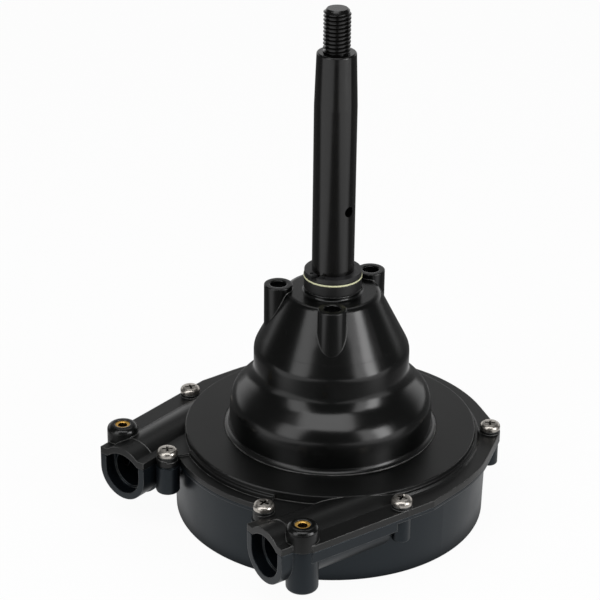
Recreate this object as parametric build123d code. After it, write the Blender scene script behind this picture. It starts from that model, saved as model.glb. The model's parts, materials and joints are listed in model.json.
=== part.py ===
from build123d import *
import os
from math import acos, cos, degrees, pi, radians, sin, sqrt, tan

# Mechanical steering helm for a small boat, in millimetres.
# The origin is on the shaft's axis at the drum's flat back, +Z points up the shaft,
# and the two cable ports open towards -Y, mirrored about the YZ plane.
# The wheel turns the shaft. Its pinion drives three planet gears inside a fixed ring gear,
# and the planets carry the grooved wheel that pushes and pulls the steering cable.

# Running clearances, and how far cutters and joined solids reach past a face
RUN_GAP = 0.05
END_FLOAT = 0.1
SIDE_GAP = 0.3
FIT_GAP = 0.15
OVER = 1.0
EDGE_FILLET = 0.4

# Steering shaft
SHAFT_R = 9.525
SHAFT_TOP_Z = 241.6
THREAD_R = 6.0
THREAD_LENGTH = 19.6
THREAD_CHAMFER = 1.5
TAPER_LENGTH = 24.4
TAPER_IN = 0.805
SHOULDER_CHAMFER = 0.8
CROSS_HOLE_R = 2.38
CROSS_HOLE_Z = 150.0
KEYWAY_W = 4.76
KEYWAY_CUTTER_R = 9.5
KEYWAY_DEPTH = 2.6
KEYWAY_FROM_SHOULDER = 11.5
JOURNAL_R = 5.5
JOURNAL_CHAMFER = 0.5
RUNOUT_DEPTH = 1.5
RUNOUT_H = 1.0

# Circlips and thrust washers
GROOVE_DEPTH = 0.6
CIRCLIP_OUT = 3.375
CIRCLIP_T = 2.0
CIRCLIP_HOLE_R = 0.9
CIRCLIP_LUG_ANGLE = 19.0
CIRCLIP_GAP_ANGLE = 7.0
CIRCLIP_TURN = -86.0
INNER_CIRCLIP_OUT = 1.975
INNER_CIRCLIP_T = 1.2
THRUST_WASHER_T = 1.1
INNER_WASHER_OUT = 1.5
WASHER_T = 0.8

# Drum and flange
DRUM_R = 71.8
DRUM_DRAFT = 0.7
DRUM_H = 33.2
WALL = 3.0
FLOOR_T = 3.2
FOOT_FILLET = 0.8
FLANGE_OUT = 2.9
FLANGE_T = 3.4
RIM_T = 1.6
SKIRT_T = 5.3
SKIRT_END_GAP = 1.5
PLATE_OUT = 0.5
STRIP_OUT = 1.1
STRIP_DROP = 0.9
STRIP_HALF_ANGLE = 24.0
DISC_INSET = 4.6
DISC_RISE = 3.9
LEDGE_OUT = 1.4
LEDGE_RISE = 1.5
LEDGE_FOOT_FILLET = 1.0

# Cone of the front cover
NOSE_OUT = 0.6
NOSE_H = 2.1
NOSE_FILLET = 0.8
CONE_IN = 14.1
PLATEAU_FILLET = 3.0
BAND_IN = 10.8
BAND_FILLET = 3.0
CONE_H = 27.7
BAND_H = 11.8
WAIST_FILLET = 5.0
SHOULDER_DROP = 12.0
SHOULDER_FILLET = 6.0
BULGE_DRAFT = 0.5
BULGE_H = 17.0
BULGE_FOOT_FILLET = 2.0
COVER_WALL = 3.2
NOSE_TUBE_WALL = 3.4
NOSE_TUBE_H = 16.3
BEARING_WALL = 2.925
BEARING_FLANGE_H = 5.1
BEARING_CHAMFER = 0.6
CAVITY_FILLET = 1.0

# Mounting bosses on the cone
BOSS_OUT = 3.0
BOSS_ANGLES = (90.0, 225.0, 315.0)
BOSS_R = 6.5
BOSS_RISE = 2.4
BOSS_H = 23.0
BOSS_HOLE_R = 3.4
BOSS_CHAMFER = 0.6

# Cable, its wheel and its two ports
CABLE_DROP = 6.1
CABLE_TO_DRUM = 12.3
CABLE_R = 4.5
CABLE_GAP = 0.7
PORT_ANGLE = 8.3
PORT_OUT = 6.7
COLLAR_R = 13.0
COLLAR_L = 10.0
RIDGE_R = 13.3
BLOCK_R = 13.7
BLOCK_L = 58.5
MOUTH_R = 9.9
MOUTH_ARCH_R = 12.5
MOUTH_ARCH_DROP = 2.8
MOUTH_DEPTH = 6.0
FITTING_R = 8.8
FITTING_DEPTH = 27.0

# Cable retaining bolts: brass inserts in bosses beside the ports
INSERT_SIDE = 10.5
INSERT_BACK = 12.6
INSERT_BOSS_R = 7.15
INSERT_BOSS_RISE = 7.3
INSERT_BOSS_FILLET = 2.5
INSERT_FOOT_FILLET = 1.5
INSERT_BOSS_DROP = 21.1
INSERT_R = 3.5
INSERT_HOLE_R = 2.15
INSERT_L = 9.5
INSERT_SINK = 0.4
LOCK_HOLE_R = 2.6
LOCK_HOLE_DEPTH = 17.5

# Cover screws
SCREW_R = 2.4
SCREW_HOLE_GAP = 0.35
SCREW_HEAD_R = 4.7
SCREW_HEAD_H = 3.2
SCREW_HEAD_FILLET = 1.6
SCREW_L = 16.0
SCREW_TIP_CHAMFER = 0.6
SCREW_TIP_GAP = 0.5
SCREW_OUT = 2.6
SCREW_ANGLES = (-19.6, 46.2)
PORT_SCREW_SIDE = -17.3
PORT_SCREW_BACK = 11.8
PAD_R = 4.6
PAD_RISE = 1.4
LOBE_R = 4.8
COLUMN_R = 4.2
PORT_COLUMN_R = 4.85
COLUMN_DROP = 13.3
COLUMN_FILLET = 1.0

# Drum interior
POST_WALL = 3.0
POST_H = 20.8
POST_FOOT_OUT = 5.4
POST_FOOT_H = 3.1
POST_FLOOR_T = 3.2
BUSH_WALL = 2.05
BUSH_H = 16.0
GUIDE_RIBS = 11
GUIDE_RIB_T = 2.2
GUIDE_RIB_ARC = (5.0, 175.0)
FLOOR_RIBS = 8
FLOOR_RIB_T = 2.4
FLOOR_RIB_H = 2.6

# Gear train
MODULE = 1.25
PRESSURE = radians(25)
SUN_TEETH = 12
PLANET_TEETH = 24
PLANETS = 3
PLANET_FROM_ANGLE = 90.0
TOOTH_CLEARANCE = 0.25
TOOTH_GAP = 0.12
FLANK_FROM_BASE = 0.2
GEAR_FACE = 11.0
PINION_EXTRA = 0.6
PLANET_PIN_R = 4.0
PLANET_WASHER_OUT = 3.5
PIN_GROOVE_DEPTH = 0.8
PIN_CLIP_T = 0.8
PIN_CLIP_OUT = 1.6
PIN_CLIP_MOUTH = 5.4
PIN_TAIL = 1.0
CARRIER_T = 2.2
CARRIER_LAND = 2.0
CARRIER_GAP = 1.0
RING_GEAR_WALL = 4.1875
RING_GEAR_H = 13.5
RING_SEAT_DROP = 1.9
RING_KEYS = 4
RING_KEY_R = 1.5
RING_KEY_IN = 0.5
RING_KEY_FROM_ANGLE = 45.0
RING_CLIP_T = 1.2
RING_CLIP_GROOVE = 1.5
RING_CLIP_DEPTH = 3.4
RING_CLIP_GAP_ANGLE = 6.0

# Cable wheel
RIM_W = 14.0
RIM_SHORT = 0.6
RIM_FILLET = 0.8
GROOVE_GAP = 0.4
RIM_IN = 9.5
GROOVE_TEETH = 60
GROOVE_TOOTH_W = 2.6
GROOVE_TOOTH_DEPTH = 0.9
GROOVE_TOOTH_L = 5.0
WEB_T = 4.5
WEB_GAP = 0.2
WEB_FILLET = 2.0
HUB_WALL = 4.3
SUN_BORE_GAP = 1.1
WHEEL_BUSH_WALL = 2.55
WHEEL_BUSH_H = 15.0
WHEEL_BUSH_LIFT = 0.6
WHEEL_WASHER_T = 1.5
SEAT_LAND = 4.5
SEAT_T = 5.0
SEAT_WALL = 3.5
SEAT_ABOVE_DISC = 0.5
WHEEL_RIBS = 6
WHEEL_RIB_T = 3.0
WHEEL_RIB_LIFT = 0.5
WEB_HOLES = 6
WEB_HOLE_LAND = 3.2
WEB_HOLE_LEAST_R = 1.0
HOLD_DOWN_W = 3.0

# Heights that follow from the sizes above
SPLIT_Z = DRUM_H
CABLE_Z = SPLIT_Z - CABLE_DROP
FLANGE_TOP_Z = SPLIT_Z + FLANGE_T
DISC_TOP_Z = FLANGE_TOP_Z + DISC_RISE
SHOULDER_Z = DISC_TOP_Z + BULGE_H
WAIST_Z = SHOULDER_Z + SHOULDER_DROP
BAND_TOP_Z = WAIST_Z + BAND_H
PLATEAU_Z = BAND_TOP_Z + CONE_H
NOSE_TOP_Z = PLATEAU_Z + NOSE_H
NOSE_TUBE_Z = NOSE_TOP_Z - NOSE_TUBE_H
BEARING_TOP_Z = NOSE_TOP_Z + BEARING_FLANGE_H
CIRCLIP_Z = BEARING_TOP_Z + THRUST_WASHER_T + END_FLOAT
INNER_WASHER_Z = NOSE_TUBE_Z - WASHER_T
INNER_CIRCLIP_Z = INNER_WASHER_Z - END_FLOAT - INNER_CIRCLIP_T
THREAD_Z = SHAFT_TOP_Z - THREAD_LENGTH
TAPER_Z = THREAD_Z - TAPER_LENGTH
HUB_Z = FLOOR_T + POST_FOOT_H + WHEEL_WASHER_T + END_FLOAT
WEB_TOP_Z = SPLIT_Z - WEB_GAP
SEAT_Z = DISC_TOP_Z + SEAT_ABOVE_DISC
PLANET_Z = SEAT_Z + WASHER_T + END_FLOAT
PLANET_TOP_Z = PLANET_Z + GEAR_FACE
CARRIER_Z = PLANET_TOP_Z + END_FLOAT + WASHER_T
PIN_CLIP_Z = CARRIER_Z + CARRIER_T
PIN_TOP_Z = PIN_CLIP_Z + PIN_CLIP_T + PIN_TAIL
PINION_Z = PLANET_Z - PINION_EXTRA
PINION_TOP_Z = PLANET_TOP_Z + PINION_EXTRA
RING_SEAT_Z = SHOULDER_Z - RING_SEAT_DROP
RING_CLIP_Z = RING_SEAT_Z - RING_GEAR_H - RING_CLIP_T

# Radii that follow from the shaft outwards
NOSE_BORE_R = SHAFT_R + RUN_GAP + BEARING_WALL
NOSE_R = NOSE_BORE_R + NOSE_OUT
NOSE_TUBE_R = NOSE_BORE_R + NOSE_TUBE_WALL
TAPER_SMALL_R = SHAFT_R - TAPER_IN
SUN_BORE_R = JOURNAL_R + SUN_BORE_GAP
POST_BORE_R = JOURNAL_R + RUN_GAP + BUSH_WALL
POST_R = POST_BORE_R + POST_WALL
POST_FOOT_R = POST_R + POST_FOOT_OUT
WHEEL_BUSH_R = POST_R + RUN_GAP + WHEEL_BUSH_WALL
HUB_R = WHEEL_BUSH_R + HUB_WALL

# Radii that follow from the gear train
RING_TEETH = SUN_TEETH + 2 * PLANET_TEETH
RING_PITCH_R = MODULE * RING_TEETH / 2
RING_ROOT_R = RING_PITCH_R + MODULE * (1 + TOOTH_CLEARANCE)
PLANET_PCR = MODULE * (SUN_TEETH + PLANET_TEETH) / 2
PLANET_ANGLES = [PLANET_FROM_ANGLE + 360 * i / PLANETS for i in range(PLANETS)]
SEAT_R = PLANET_PCR + PLANET_PIN_R + SEAT_LAND
CARRIER_R = PLANET_PCR + PLANET_PIN_R + CARRIER_LAND
PIN_GROOVE_R = PLANET_PIN_R - PIN_GROOVE_DEPTH
BULGE_BORE_R = RING_ROOT_R + RING_GEAR_WALL + FIT_GAP
RING_GROOVE_R = BULGE_BORE_R + RING_CLIP_GROOVE
BULGE_R = BULGE_BORE_R + WALL
BAND_R = BULGE_R - BAND_IN
BAND_BORE_R = BAND_R - COVER_WALL
PLATEAU_R = BAND_R - CONE_IN
BOSS_PCR = PLATEAU_R + BOSS_OUT

# Radii that follow from the drum, and the ports' sizes
FLANGE_R = DRUM_R + FLANGE_OUT + DRUM_DRAFT
STRIP_R = DRUM_R + DRUM_DRAFT + STRIP_OUT
DISC_R = DRUM_R - DISC_INSET
LEDGE_R = DISC_R + LEDGE_OUT
COVER_CAVITY_R = DISC_R - WALL
COVER_CAVITY_Z = DISC_TOP_Z - COVER_WALL
CAVITY_R = DRUM_R - WALL
CABLE_PITCH_R = DRUM_R - CABLE_TO_DRUM
GUIDE_R = CABLE_PITCH_R + CABLE_R + CABLE_GAP
GROOVE_R = CABLE_R + GROOVE_GAP
WHEEL_R = CABLE_PITCH_R - RIM_SHORT
WHEEL_RIM_IN_R = WHEEL_R - RIM_IN
RIM_TOP_Z = CABLE_Z + RIM_W / 2
HOLD_DOWN_R = BULGE_BORE_R + HOLD_DOWN_W
OVER_WEB_ONLY = HOLD_DOWN_R + SIDE_GAP < WHEEL_RIM_IN_R
HOLD_DOWN_Z = (WEB_TOP_Z if OVER_WEB_ONLY else max(WEB_TOP_Z, RIM_TOP_Z)) + SIDE_GAP
CHANNEL_R = CABLE_R + CABLE_GAP
PORT_REACH = DRUM_R + PORT_OUT
PLATE_HALF_W = INSERT_SIDE + INSERT_BOSS_R + PLATE_OUT
INSERT_TOP_Z = FLANGE_TOP_Z + INSERT_BOSS_RISE
INSERT_Z = INSERT_TOP_Z - INSERT_SINK - INSERT_L
SCREW_PCR = DRUM_R + SCREW_OUT
SCREW_SEAT_Z = FLANGE_TOP_Z + PAD_RISE

# The +X port's frame: side runs across it, towards +X, and back runs from its face into the drum.
PORT_SIDE = (cos(radians(PORT_ANGLE)), -sin(radians(PORT_ANGLE)))
PORT_BACK = (sin(radians(PORT_ANGLE)), cos(radians(PORT_ANGLE)))
PORT_FACE = (
    CABLE_PITCH_R * PORT_SIDE[0] - PORT_REACH * PORT_BACK[0],
    CABLE_PITCH_R * PORT_SIDE[1] - PORT_REACH * PORT_BACK[1],
)


def at_port(side, back):
    """XY place of a point given across and behind the +X port's face."""
    x = PORT_FACE[0] + side * PORT_SIDE[0] + back * PORT_BACK[0]
    y = PORT_FACE[1] + side * PORT_SIDE[1] + back * PORT_BACK[1]
    return x, y


def polar(radius, degrees_round):
    """XY place at a radius and an angle from +X."""
    return radius * cos(radians(degrees_round)), radius * sin(radians(degrees_round))


INSERT_AT = at_port(INSERT_SIDE, INSERT_BACK)
PORT_SCREW_AT = at_port(PORT_SCREW_SIDE, PORT_SCREW_BACK)
SIDE_SCREWS_AT = [polar(SCREW_PCR, angle) for angle in SCREW_ANGLES]
SCREWS_AT = SIDE_SCREWS_AT + [PORT_SCREW_AT]
SIDE_SCREW_BACK = (
    PORT_REACH + SIDE_SCREWS_AT[0][0] * PORT_BACK[0] + SIDE_SCREWS_AT[0][1] * PORT_BACK[1]
)


def both_sides(solid):
    """The solid and its mirror image across the YZ plane."""
    return solid + mirror(solid, about=Plane.YZ)


def prism(outline, low, high):
    """A flat outline raised from one height to another."""
    return Pos(0, 0, low) * extrude(outline, high - low)


def post(place, radius, low, high):
    """Upright round post at an XY place."""
    return prism(Pos(*place) * Circle(radius), low, high)


def tube(outer_r, inner_r, low, high):
    """Ring about the shaft's axis."""
    return prism(Circle(outer_r) - Circle(inner_r), low, high)


def turned(*corners):
    """Solid turned about the shaft's axis; a corner is radius, height and perhaps a fillet."""
    points = [(corner[0], 0, corner[1]) for corner in corners]
    fillets = [corner[2] if len(corner) > 2 else 0 for corner in corners]
    return revolve(make_face(FilletPolyline(*points, radius=fillets, close=True)), Axis.Z)


def spokes(count, thickness, inner_r, outer_r, low, high, first=0.0, step=None):
    """Radial ribs about the shaft's axis."""
    step = 360 / count if step is None else step
    bar = Pos((inner_r + outer_r) / 2, 0) * Rectangle(outer_r - inner_r, thickness)
    ribs = [Rot(0, 0, first + step * i) * prism(bar, low, high) for i in range(count)]
    return Compound(ribs)


def sector(radius, middle_angle, half_angle):
    """Flat wedge from the axis out to about a radius."""
    reach = radius / cos(radians(half_angle))
    return make_face(
        Polyline(
            (0, 0),
            polar(reach, middle_angle - half_angle),
            polar(reach, middle_angle + half_angle),
            close=True,
        )
    )


def port_plane(back=0.0):
    """Plane across the +X port at a depth, with x across it and y up."""
    x, y = at_port(0, back)
    return Plane((x, y, CABLE_Z), x_dir=(*PORT_SIDE, 0), z_dir=(-PORT_BACK[0], -PORT_BACK[1], 0))


def into_port(outline, start, end):
    """A port outline carried into the drum from one depth to another."""
    return extrude(port_plane(start) * outline, start - end)


def involute(angle):
    """Involute function of a pressure angle."""
    return tan(angle) - angle


def gear_outline(teeth, foot_r, tip_r, thinning):
    """Involute gear outline with a tooth centred on +X; thinning is taken off each tooth."""
    pitch_r = MODULE * teeth / 2
    base_r = pitch_r * cos(PRESSURE)
    pitch_half_angle = pi / (2 * teeth) - thinning / (2 * pitch_r)
    start_r = base_r if base_r - foot_r > FLANK_FROM_BASE * MODULE else foot_r

    def flank_point(radius, turn, hand):
        pressure = acos(min(1.0, base_r / radius))
        half = pitch_half_angle + involute(PRESSURE) - involute(pressure)
        return radius * cos(turn + hand * half), radius * sin(turn + hand * half)

    edges = []
    last_foot = None
    first_foot = None
    for tooth in range(teeth):
        turn = 2 * pi * tooth / teeth
        near = [flank_point(r, turn, -1) for r in (start_r, (start_r + tip_r) / 2, tip_r)]
        far = [flank_point(r, turn, 1) for r in (tip_r, (start_r + tip_r) / 2, start_r)]
        foot_in = flank_point(foot_r, turn, -1)
        foot_out = flank_point(foot_r, turn, 1)
        if last_foot is None:
            first_foot = foot_in
        else:
            edges.append(Line(last_foot, foot_in))
        if start_r > foot_r:
            edges.append(Line(foot_in, near[0]))
        edges.append(ThreePointArc(*near))
        edges.append(Line(near[-1], far[0]))
        edges.append(ThreePointArc(*far))
        if start_r > foot_r:
            edges.append(Line(far[-1], foot_out))
        last_foot = foot_out
    edges.append(Line(last_foot, first_foot))
    return make_face(Wire(edges))


def external_gear(teeth):
    """Outline of an outside gear of the train."""
    pitch_r = MODULE * teeth / 2
    foot_r = pitch_r - MODULE * (1 + TOOTH_CLEARANCE)
    return gear_outline(teeth, foot_r, pitch_r + MODULE, TOOTH_GAP)


def circlip(reach, low, thickness):
    """Circlip in a groove of the shaft, with two lug holes and a gap between them."""
    inner_r = SHAFT_R - GROOVE_DEPTH
    outer_r = SHAFT_R + reach
    ring = Circle(outer_r) - Circle(inner_r)
    ring -= sector(outer_r + OVER, CIRCLIP_TURN, CIRCLIP_GAP_ANGLE)
    for hand in (-1, 1):
        place = polar((inner_r + outer_r) / 2, CIRCLIP_TURN + hand * CIRCLIP_LUG_ANGLE)
        ring -= Pos(*place) * Circle(CIRCLIP_HOLE_R)
    return prism(ring, low, low + thickness)


def wheel_shaft():
    """Steering shaft: journal, pinion, straight length, taper and threaded end."""
    groove_r = SHAFT_R - GROOVE_DEPTH
    body = turned(
        (0, HUB_Z - JOURNAL_CHAMFER),
        (JOURNAL_R - JOURNAL_CHAMFER, HUB_Z - JOURNAL_CHAMFER),
        (JOURNAL_R, HUB_Z),
        (JOURNAL_R, PINION_TOP_Z),
        (SHAFT_R - RUNOUT_DEPTH, PINION_TOP_Z),
        (SHAFT_R, PINION_TOP_Z + RUNOUT_H),
        (SHAFT_R, INNER_CIRCLIP_Z),
        (groove_r, INNER_CIRCLIP_Z),
        (groove_r, INNER_CIRCLIP_Z + INNER_CIRCLIP_T),
        (SHAFT_R, INNER_CIRCLIP_Z + INNER_CIRCLIP_T),
        (SHAFT_R, CIRCLIP_Z),
        (groove_r, CIRCLIP_Z),
        (groove_r, CIRCLIP_Z + CIRCLIP_T),
        (SHAFT_R, CIRCLIP_Z + CIRCLIP_T),
        (SHAFT_R, TAPER_Z),
        (TAPER_SMALL_R, THREAD_Z, SHOULDER_CHAMFER),
        (THREAD_R, THREAD_Z),
        (THREAD_R, SHAFT_TOP_Z - THREAD_CHAMFER),
        (THREAD_R - THREAD_CHAMFER, SHAFT_TOP_Z),
        (0, SHAFT_TOP_Z),
    )
    body += prism(external_gear(SUN_TEETH), PINION_Z, PINION_TOP_Z)
    body -= Pos(0, 0, CROSS_HOLE_Z) * Rot(0, 90, 0) * Cylinder(CROSS_HOLE_R, 4 * SHAFT_R)
    key_r = (SHAFT_R + TAPER_SMALL_R) / 2
    key_z = THREAD_Z - KEYWAY_FROM_SHOULDER
    cutter = Rot(0, 90, 0) * Cylinder(KEYWAY_CUTTER_R, KEYWAY_W)
    body -= Pos(0, key_r - KEYWAY_DEPTH + KEYWAY_CUTTER_R, key_z) * cutter
    return body


def shaft_circlip():
    """Circlip on top of the nose, in the shaft's upper groove."""
    return circlip(CIRCLIP_OUT, CIRCLIP_Z, CIRCLIP_T)


def inner_circlip():
    """Circlip under the nose bearing, in the shaft's lower groove."""
    return circlip(INNER_CIRCLIP_OUT, INNER_CIRCLIP_Z, INNER_CIRCLIP_T)


def thrust_washer():
    """Thin pale washer between the bearing's flange and the circlip."""
    top_z = BEARING_TOP_Z + THRUST_WASHER_T
    return tube(NOSE_R + FIT_GAP, SHAFT_R + 2 * RUN_GAP, BEARING_TOP_Z, top_z)


def inner_washer():
    """Washer between the bearing's lower end and the inner circlip."""
    return tube(NOSE_BORE_R + INNER_WASHER_OUT, SHAFT_R + 2 * RUN_GAP, INNER_WASHER_Z, NOSE_TUBE_Z)


def nose_bearing():
    """Flanged plain bearing pressed into the cone's nose."""
    return turned(
        (SHAFT_R + RUN_GAP, NOSE_TUBE_Z),
        (NOSE_BORE_R - BEARING_CHAMFER, NOSE_TUBE_Z),
        (NOSE_BORE_R, NOSE_TUBE_Z + BEARING_CHAMFER),
        (NOSE_BORE_R, NOSE_TOP_Z),
        (NOSE_R, NOSE_TOP_Z, EDGE_FILLET / 2),
        (NOSE_R, BEARING_TOP_Z, EDGE_FILLET / 2),
        (SHAFT_R + RUN_GAP, BEARING_TOP_Z),
    )


def port_plate(back_end):
    """Flat plate outline round the +X port, as far back as given."""
    outline = [
        at_port(-COLLAR_R, 0),
        at_port(COLLAR_R, 0),
        at_port(COLLAR_R, COLLAR_L),
        at_port(PLATE_HALF_W, INSERT_BACK),
        at_port(PLATE_HALF_W, back_end),
        at_port(0, back_end),
        polar(DISC_R - OVER, STRIP_HALF_ANGLE - 90),
        polar(STRIP_R, STRIP_HALF_ANGLE - 90),
        at_port(PORT_SCREW_SIDE, PORT_SCREW_BACK + PORT_COLUMN_R - OVER),
        at_port(-COLLAR_R, COLLAR_L),
    ]
    return make_face(Polyline(*outline, close=True))


def plate_join():
    """Outline that carries the +X port's straight side on to the round flange by a tangent."""
    turn = acos(min(1.0, FLANGE_R / (CABLE_PITCH_R + PLATE_HALF_W)))
    outline = [
        (0, 0),
        at_port(PLATE_HALF_W, INSERT_BACK),
        at_port(PLATE_HALF_W, PORT_REACH),
        polar(FLANGE_R, degrees(turn) - PORT_ANGLE),
    ]
    return make_face(Polyline(*outline, close=True))


def side_lobe(angle):
    """Lobe round a side screw, with the two tangents that join it to the flange."""
    spread = degrees(acos((FLANGE_R - LOBE_R) / SCREW_PCR))
    near_x, near_y = polar(FLANGE_R, spread)
    far_x, far_y = polar(LOBE_R, spread)
    outline = [
        (0, 0),
        (near_x, near_y),
        (SCREW_PCR + far_x, far_y),
        (SCREW_PCR + far_x, -far_y),
        (near_x, -near_y),
    ]
    lobe = make_face(Polyline(*outline, close=True)) + Pos(SCREW_PCR, 0) * Circle(LOBE_R)
    return Rot(0, 0, angle) * lobe


def flange_outline():
    """Outline shared by the cover's flange and the drum's rim."""
    front_edge = Pos(0, -FLANGE_R) * Rectangle(4 * FLANGE_R, FLANGE_R)
    outline = Circle(STRIP_R) + (Circle(FLANGE_R) - front_edge)
    half = port_plate(PORT_REACH) + plate_join()
    half += Pos(*INSERT_AT) * Circle(INSERT_BOSS_R)
    half += Pos(*PORT_SCREW_AT) * Circle(PORT_COLUMN_R)
    for angle in SCREW_ANGLES:
        half += side_lobe(angle)
    return outline + both_sides(half)


def arch(radius):
    """Round port outline cut off below the flange's underside."""
    above = SPLIT_Z - CABLE_Z
    return Circle(radius) & (Pos(0, above + radius / 2) * Rectangle(2 * radius, radius))


def trough(radius):
    """Port outline for the drum: round below, straight up to the split."""
    above = SPLIT_Z - CABLE_Z
    outline = Circle(radius) - (Pos(0, radius / 2) * Rectangle(2 * radius, radius))
    return outline + Pos(0, above / 2) * Rectangle(2 * radius, above)


def port_mouth():
    """Outline of the +X port's mouth: a trough in the drum under an arch in the cover."""
    above = SPLIT_Z - CABLE_Z
    roof = Pos(0, above + MOUTH_R / 2) * Rectangle(2 * MOUTH_R, MOUTH_R)
    return trough(MOUTH_R) + (roof & Pos(0, -MOUTH_ARCH_DROP) * Circle(MOUTH_ARCH_R))


def port_hollow():
    """Everything that is hollow in the +X port: mouth, fitting bore, cable way, bolt hole."""
    hollow = into_port(port_mouth(), -OVER, MOUTH_DEPTH)
    hollow += into_port(Circle(FITTING_R), MOUTH_DEPTH - OVER, FITTING_DEPTH)
    hollow += into_port(Circle(CHANNEL_R), FITTING_DEPTH - OVER, BLOCK_L)
    return hollow + post(INSERT_AT, LOCK_HOLE_R, SPLIT_Z - LOCK_HOLE_DEPTH, INSERT_Z + FIT_GAP)


def cone_profile():
    """Outer form of the cover, turned about the shaft."""
    return turned(
        (0, SPLIT_Z),
        (LEDGE_R + LEDGE_FOOT_FILLET + EDGE_FILLET, SPLIT_Z),
        (LEDGE_R + LEDGE_FOOT_FILLET + EDGE_FILLET, FLANGE_TOP_Z),
        (LEDGE_R, FLANGE_TOP_Z, LEDGE_FOOT_FILLET),
        (LEDGE_R, FLANGE_TOP_Z + LEDGE_RISE, EDGE_FILLET),
        (DISC_R, FLANGE_TOP_Z + LEDGE_RISE, EDGE_FILLET),
        (DISC_R, DISC_TOP_Z, EDGE_FILLET),
        (BULGE_R + BULGE_DRAFT, DISC_TOP_Z, BULGE_FOOT_FILLET),
        (BULGE_R, SHOULDER_Z, SHOULDER_FILLET),
        (BAND_R, WAIST_Z, WAIST_FILLET),
        (BAND_R, BAND_TOP_Z, BAND_FILLET),
        (PLATEAU_R, PLATEAU_Z, PLATEAU_FILLET),
        (NOSE_R, PLATEAU_Z, NOSE_FILLET),
        (NOSE_R, NOSE_TOP_Z, EDGE_FILLET / 2),
        (0, NOSE_TOP_Z),
    )


def cone_cavity():
    """Inside of the cover: wheel chamber, ring gear bore and hollow cone."""
    slope = CONE_IN / CONE_H
    across = COVER_WALL * sqrt(1 + slope * slope)
    roof_z = PLATEAU_Z - COVER_WALL
    roof_r = PLATEAU_R + slope * (PLATEAU_Z - roof_z) - across
    corner_z = BAND_TOP_Z - (across - COVER_WALL) / slope
    return turned(
        (0, SPLIT_Z),
        (COVER_CAVITY_R, SPLIT_Z),
        (COVER_CAVITY_R, COVER_CAVITY_Z, CAVITY_FILLET),
        (BULGE_BORE_R, COVER_CAVITY_Z),
        (BULGE_BORE_R, RING_SEAT_Z),
        (BAND_BORE_R, RING_SEAT_Z),
        (BAND_BORE_R, corner_z, CAVITY_FILLET),
        (roof_r, roof_z, CAVITY_FILLET),
        (0, roof_z),
    )


def mounting_boss(angle):
    """Round boss that rises out of the cone, still without its hole."""
    place = polar(BOSS_PCR, angle)
    top = PLATEAU_Z + BOSS_RISE
    body = post(place, BOSS_R, top - BOSS_H, top)
    return fillet(body.edges().sort_by(Axis.Z)[-1], EDGE_FILLET)


def mounting_hole(angle):
    """Hole through one mounting boss, with a chamfered mouth."""
    place = polar(BOSS_PCR, angle)
    top = PLATEAU_Z + BOSS_RISE
    hole = post(place, BOSS_HOLE_R, top - BOSS_H - OVER, top + OVER)
    mouth = Cone(BOSS_HOLE_R, BOSS_HOLE_R + BOSS_CHAMFER, BOSS_CHAMFER)
    return hole + Pos(*place, top - BOSS_CHAMFER / 2) * mouth


def rounded_post(place, radius, low, high, end, rounding):
    """Upright post with one end rounded: end is 0 for the lower one and -1 for the upper."""
    body = post(place, radius, low, high)
    return fillet(body.edges().filter_by(GeomType.CIRCLE).sort_by(Axis.Z)[end], rounding)


def ring_key_places():
    """Middles of the ring gear's keys."""
    step = 360 / RING_KEYS
    return [polar(BULGE_BORE_R - RING_KEY_IN, RING_KEY_FROM_ANGLE + step * i) for i in range(RING_KEYS)]


def cover_outside():
    """Cover's outer form: cone, flange with its lower front strip, ridges, bosses and pads."""
    body = cone_profile() + prism(flange_outline(), SPLIT_Z, FLANGE_TOP_Z)
    strip = sector(FLANGE_R, -90, STRIP_HALF_ANGLE) - Circle(LEDGE_R)
    body -= prism(strip, FLANGE_TOP_Z - STRIP_DROP, FLANGE_TOP_Z + OVER)
    no_ledge = port_plate(SIDE_SCREW_BACK) - Circle(DISC_R)
    body -= both_sides(prism(no_ledge, FLANGE_TOP_Z, DISC_TOP_Z))

    half = into_port(arch(COLLAR_R), 0, COLLAR_L)
    half += into_port(arch(RIDGE_R), COLLAR_L, PORT_REACH)
    half += rounded_post(
        INSERT_AT, INSERT_BOSS_R, SPLIT_Z, INSERT_TOP_Z, -1, INSERT_BOSS_FILLET
    )
    for place in SCREWS_AT:
        half += post(place, PAD_R, SPLIT_Z, SCREW_SEAT_Z)
    return body + both_sides(half)


def front_cover():
    """Cover moulded in one piece: flange, disc, bulge, cone, nose and the ports' upper halves."""
    body = cover_outside() - cone_cavity()
    body += tube(NOSE_TUBE_R, NOSE_BORE_R - OVER, NOSE_TUBE_Z, PLATEAU_Z)
    body += tube(HOLD_DOWN_R, BULGE_BORE_R, HOLD_DOWN_Z, COVER_CAVITY_Z + OVER)
    for angle in BOSS_ANGLES:
        body += mounting_boss(angle)
    body -= post((0, 0), NOSE_BORE_R, NOSE_TUBE_Z - OVER, NOSE_TOP_Z + OVER)
    for angle in BOSS_ANGLES:
        body -= mounting_hole(angle)

    body -= tube(RING_GROOVE_R, BULGE_BORE_R - OVER, RING_CLIP_Z, RING_CLIP_Z + RING_CLIP_T)
    for place in ring_key_places():
        body -= post(place, RING_KEY_R, RING_CLIP_Z - RING_CLIP_T, RING_SEAT_Z)

    holes = port_hollow() + post(INSERT_AT, INSERT_R, INSERT_Z, INSERT_TOP_Z + OVER)
    for place in SCREWS_AT:
        holes += post(place, SCREW_R + SCREW_HOLE_GAP, SPLIT_Z - OVER, SCREW_SEAT_Z + OVER)
    return body - both_sides(holes)


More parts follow.
